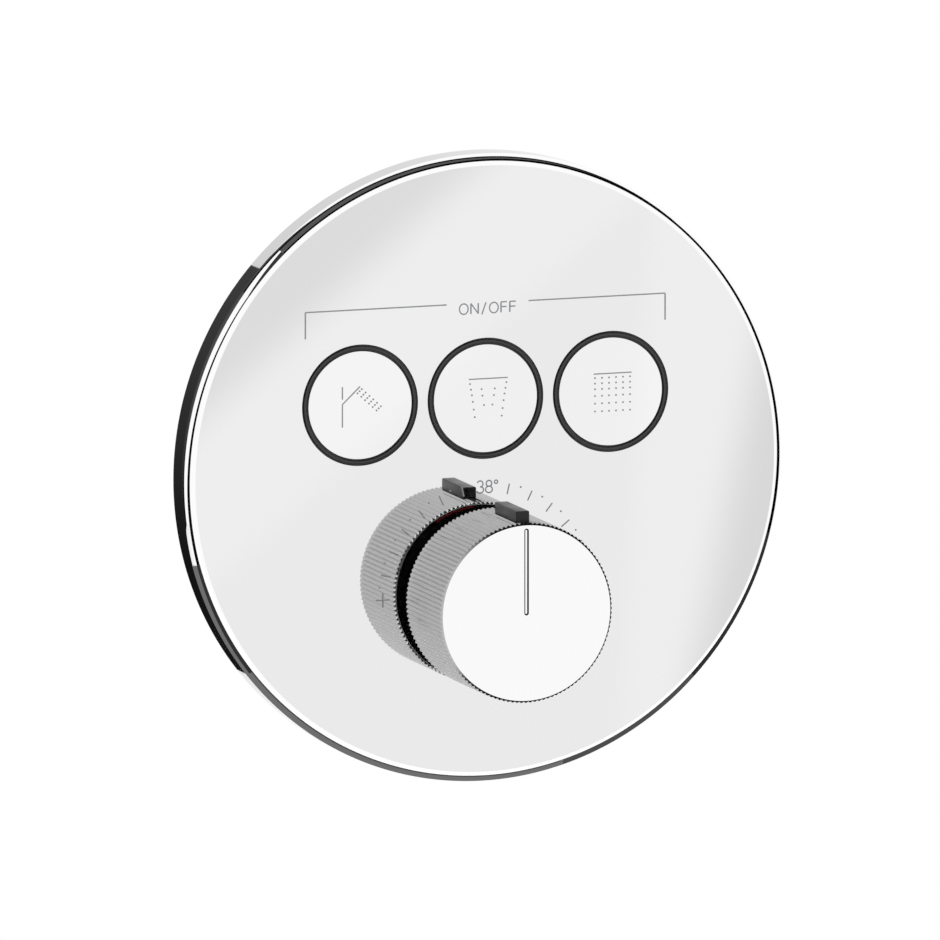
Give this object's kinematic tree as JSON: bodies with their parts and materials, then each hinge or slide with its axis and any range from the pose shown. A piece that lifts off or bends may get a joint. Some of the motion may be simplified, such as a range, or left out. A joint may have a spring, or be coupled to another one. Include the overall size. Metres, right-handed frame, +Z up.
{
  "type": "thermostatic shower valve",
  "caption": "Concealed thermostatic shower valve: round polished cover plate with push buttons in dark rings, a ribbed temperature knob with safety lever, and a brass body behind.",
  "frame": {"origin": "centre of the cover plate on the finished wall, where its soft ring touches", "axes": "+X to the right of the person who faces the valve, +Y into the wall, +Z up"},
  "size_m": [0.2, 0.1217, 0.2],
  "materials": {
    "polished_chrome": "mirror-polished chrome plating",
    "black_trim": "black moulded plastic",
    "seal_foam": "soft closed-cell ring",
    "cast_brass": "cast and machined brass",
    "turned_brass": "bright turned brass",
    "cartridge_plastic": "natural engineering plastic",
    "rubber": "black moulded rubber",
    "spring_steel": "bright spring wire",
    "zinc_steel": "zinc-plated steel",
    "copper": "drawn copper"
  },
  "bodies": {
    "valve": {"faceplate": "polished_chrome", "base_collar": "black_trim", "stop_ring": "black_trim", "trim_carrier": "black_trim", "button_ring_left": "black_trim", "button_ring_middle": "black_trim", "button_ring_right": "black_trim", "wall_seal": "seal_foam", "valve_body": "cast_brass", "gallery_plugs": "cast_brass", "thermo_nut": "turned_brass", "trim_pillars": "turned_brass", "cartridge_nut_left": "turned_brass", "cartridge_nut_middle": "turned_brass", "cartridge_nut_right": "turned_brass", "thermo_housing": "cartridge_plastic", "thermo_end_cap": "cartridge_plastic", "hot_check_housing": "cartridge_plastic", "cold_check_housing": "cartridge_plastic", "outlet_cartridge_left": "cartridge_plastic", "outlet_cartridge_middle": "cartridge_plastic", "outlet_cartridge_right": "cartridge_plastic", "cartridge_rings": "rubber", "thermo_rings": "rubber", "regulator_spring": "spring_steel", "hot_check_spring": "spring_steel", "cold_check_spring": "spring_steel", "button_spring_left": "spring_steel", "button_spring_middle": "spring_steel", "button_spring_right": "spring_steel", "mounting_bracket": "zinc_steel", "bracket_screws": "zinc_steel", "carrier_screws": "zinc_steel", "hot_strainer": "zinc_steel", "cold_strainer": "zinc_steel"},
    "knob": {"knob_sleeve": "polished_chrome", "knob_insert": "black_trim", "knob_grub_screw": "zinc_steel", "temperature_spindle": "cast_brass", "safety_lever_spring": "spring_steel"},
    "safety_lever_body": {"safety_lever": "black_trim"},
    "regulator": {"driver_nut": "turned_brass", "overload_spring": "spring_steel", "wax_element": "copper", "regulating_spool": "cartridge_plastic"},
    "button_left": {"button_cap_left": "polished_chrome", "button_stem_left": "cartridge_plastic", "valve_disc_left": "rubber"},
    "button_middle": {"button_cap_middle": "polished_chrome", "button_stem_middle": "cartridge_plastic", "valve_disc_middle": "rubber"},
    "button_right": {"button_cap_right": "polished_chrome", "button_stem_right": "cartridge_plastic", "valve_disc_right": "rubber"},
    "hot_poppet": {"hot_check_poppet": "cartridge_plastic"},
    "cold_poppet": {"cold_check_poppet": "cartridge_plastic"}
  },
  "joints": [
    {"name": "knob_turn", "type": "hinge", "parent": "valve", "child": "knob", "pos_m": [0, -0.034, -0.04], "axis": [0, -1, 0], "range_deg": [-90, 90]},
    {"name": "safety_lever_press", "type": "slide", "parent": "knob", "child": "safety_lever_body", "axis": [0, 0, -1], "range_m": [0, 0.0025], "stiffness_N_per_m": 600, "springref_m": -0.003, "deforming": ["safety_lever_spring"]},
    {"name": "regulator_slide", "type": "slide", "parent": "valve", "child": "regulator", "axis": [0, -1, 0], "range_m": [-0.002, 0.002], "deforming": ["regulator_spring"]},
    {"name": "button_left_press", "type": "slide", "parent": "valve", "child": "button_left", "axis": [0, 1, 0], "range_m": [0, 0.004], "stiffness_N_per_m": 500, "springref_m": -0.004, "deforming": ["button_spring_left"]},
    {"name": "button_middle_press", "type": "slide", "parent": "valve", "child": "button_middle", "axis": [0, 1, 0], "range_m": [0, 0.004], "stiffness_N_per_m": 500, "springref_m": -0.004, "deforming": ["button_spring_middle"]},
    {"name": "button_right_press", "type": "slide", "parent": "valve", "child": "button_right", "axis": [0, 1, 0], "range_m": [0, 0.004], "stiffness_N_per_m": 500, "springref_m": -0.004, "deforming": ["button_spring_right"]},
    {"name": "hot_check_open", "type": "slide", "parent": "valve", "child": "hot_poppet", "axis": [1, 0, 0], "range_m": [0, 0.003], "stiffness_N_per_m": 60, "springref_m": -0.004, "deforming": ["hot_check_spring"]},
    {"name": "cold_check_open", "type": "slide", "parent": "valve", "child": "cold_poppet", "axis": [-1, 0, 0], "range_m": [0, 0.003], "stiffness_N_per_m": 60, "springref_m": -0.004, "deforming": ["cold_check_spring"]}
  ],
  "couplings": [
    {"joint": "regulator_slide", "follows": "knob_turn", "m_per_rad": 0.00127}
  ]
}
